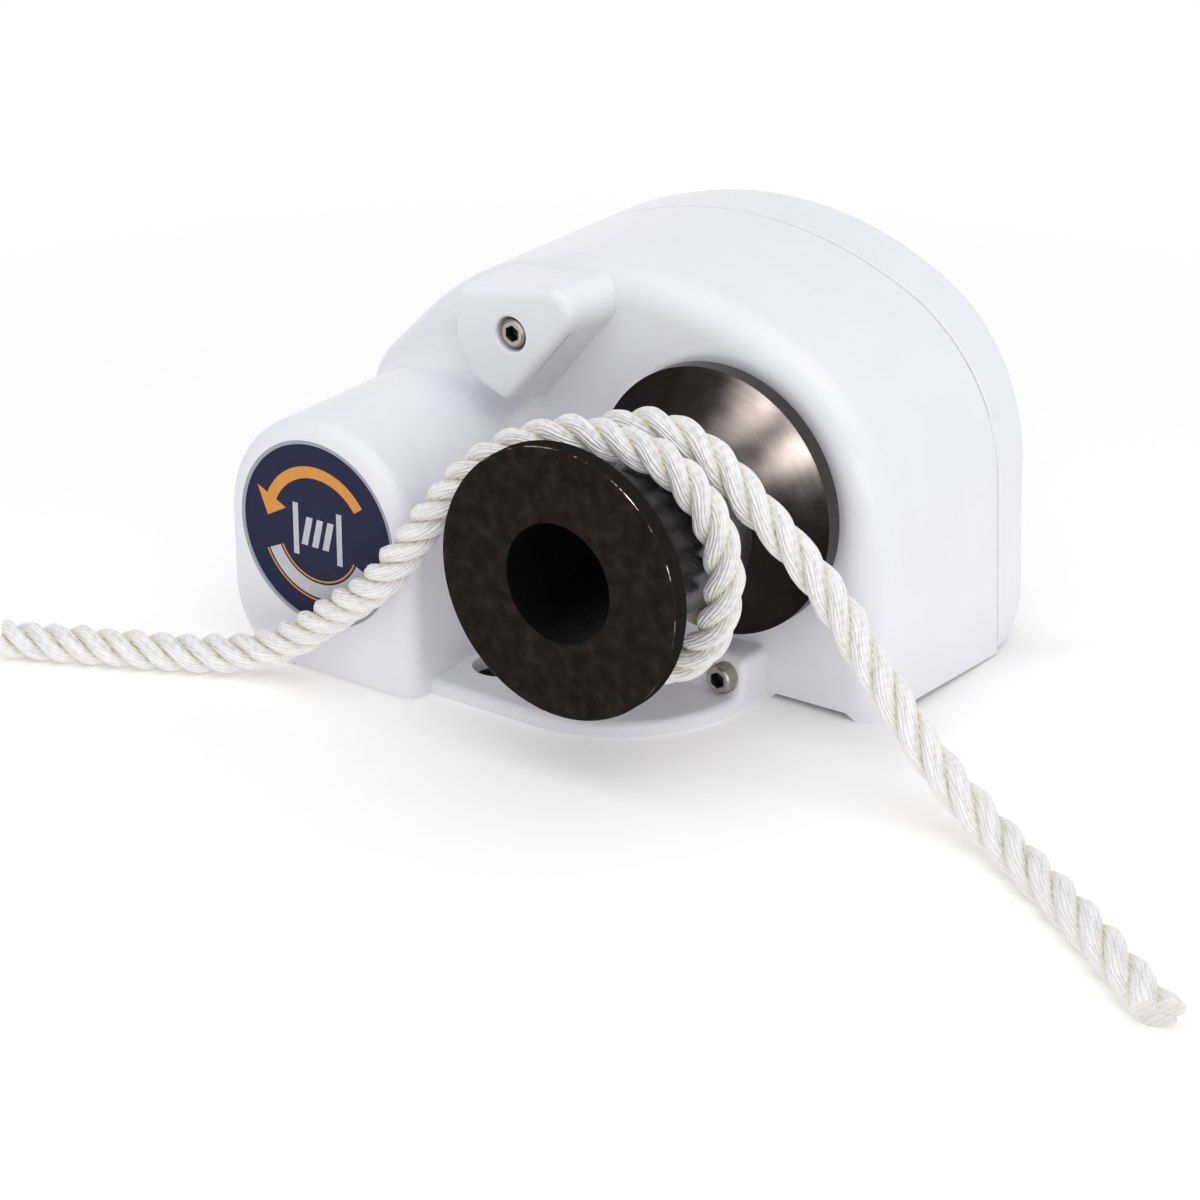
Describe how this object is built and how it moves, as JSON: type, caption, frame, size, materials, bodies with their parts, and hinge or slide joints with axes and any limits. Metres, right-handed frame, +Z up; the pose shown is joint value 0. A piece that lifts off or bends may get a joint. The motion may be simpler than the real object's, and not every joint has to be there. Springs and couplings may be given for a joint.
{
  "type": "electric rope capstan winch",
  "caption": "Small electric capstan winch: white moulded housing with a motor pod, geared black drum on a side shaft, and a three-strand rope turned round the drum.",
  "frame": {"origin": "on the resting plane, under the apron just before the front wall, at the middle of the body's width", "axes": "+Z up, -Y from the body towards the drum's open end, +X from the motor pod towards the drum"},
  "size_m": [0.4346, 0.2276, 0.1335],
  "materials": {
    "housing_white": "gloss white moulding",
    "gasket_rubber": "black rubber",
    "zinc_steel": "zinc plated",
    "stainless": "stainless, bright",
    "gear_steel": "machined",
    "label_blue": "plain printed plate",
    "label_grey": "satin ring",
    "bush_bronze": "sintered bronze",
    "motor_can": "black paint",
    "magnet": "ferrite",
    "cast_alloy": "die cast",
    "brush_carbon": "carbon",
    "armature_iron": "laminated",
    "copper": "copper segments",
    "drum_black": "black, worn matt on the front face",
    "rope_nylon": "three-strand nylon"
  },
  "bodies": {
    "housing": {"front_cover": "housing_white", "rear_cover": "housing_white", "cover_gasket": "gasket_rubber", "cable_grommet": "gasket_rubber", "base_plate": "zinc_steel", "mounting_nuts": "zinc_steel", "label_disc": "label_blue", "label_ring": "label_grey", "boss_screw": "stainless", "apron_screws": "stainless", "rear_cover_screws": "stainless", "front_gear_plate": "zinc_steel", "rear_gear_plate": "zinc_steel", "gear_plate_standoffs": "zinc_steel", "gear_plate_screws": "zinc_steel", "gear_plate_brackets": "zinc_steel", "shaft_seal": "gasket_rubber", "drum_front_bush": "bush_bronze", "drum_rear_bush": "bush_bronze", "idler_front_bush": "bush_bronze", "idler_rear_bush": "bush_bronze", "motor_can": "motor_can", "motor_magnets": "magnet", "motor_drive_cap": "cast_alloy", "motor_brush_cap": "cast_alloy", "motor_screws": "zinc_steel", "motor_brushes": "brush_carbon", "motor_drive_bush": "bush_bronze", "motor_brush_bush": "bush_bronze", "rope_tail": "rope_nylon", "rope_turns": "rope_nylon", "rope_load": "rope_nylon"},
    "drum": {"capstan_drum": "drum_black", "drum_shaft": "gear_steel", "drum_key": "gear_steel", "drum_washer": "stainless", "drum_bolt": "stainless", "output_gear": "gear_steel", "output_key": "gear_steel", "drum_circlips": "gear_steel"},
    "idler": {"idler_shaft": "gear_steel", "idler_gear": "gear_steel", "idler_pinion": "gear_steel", "idler_circlips": "gear_steel"},
    "rotor": {"armature": "armature_iron", "commutator": "copper", "motor_shaft": "gear_steel", "motor_pinion": "gear_steel"}
  },
  "joints": [
    {"name": "drum_spin", "type": "hinge", "parent": "housing", "child": "drum", "pos_m": [0.0465, 0, 0.0675], "axis": [0, 1, 0], "continuous": true},
    {"name": "idler_spin", "type": "hinge", "parent": "housing", "child": "idler", "pos_m": [-0.01188, 0, 0.06376], "axis": [0, 1, 0], "continuous": true},
    {"name": "rotor_spin", "type": "hinge", "parent": "housing", "child": "rotor", "pos_m": [-0.065, 0, 0.0495], "axis": [0, 1, 0], "continuous": true}
  ],
  "couplings": [
    {"joint": "idler_spin", "follows": "drum_spin", "ratio": -4.5714},
    {"joint": "rotor_spin", "follows": "drum_spin", "ratio": 20.571}
  ]
}
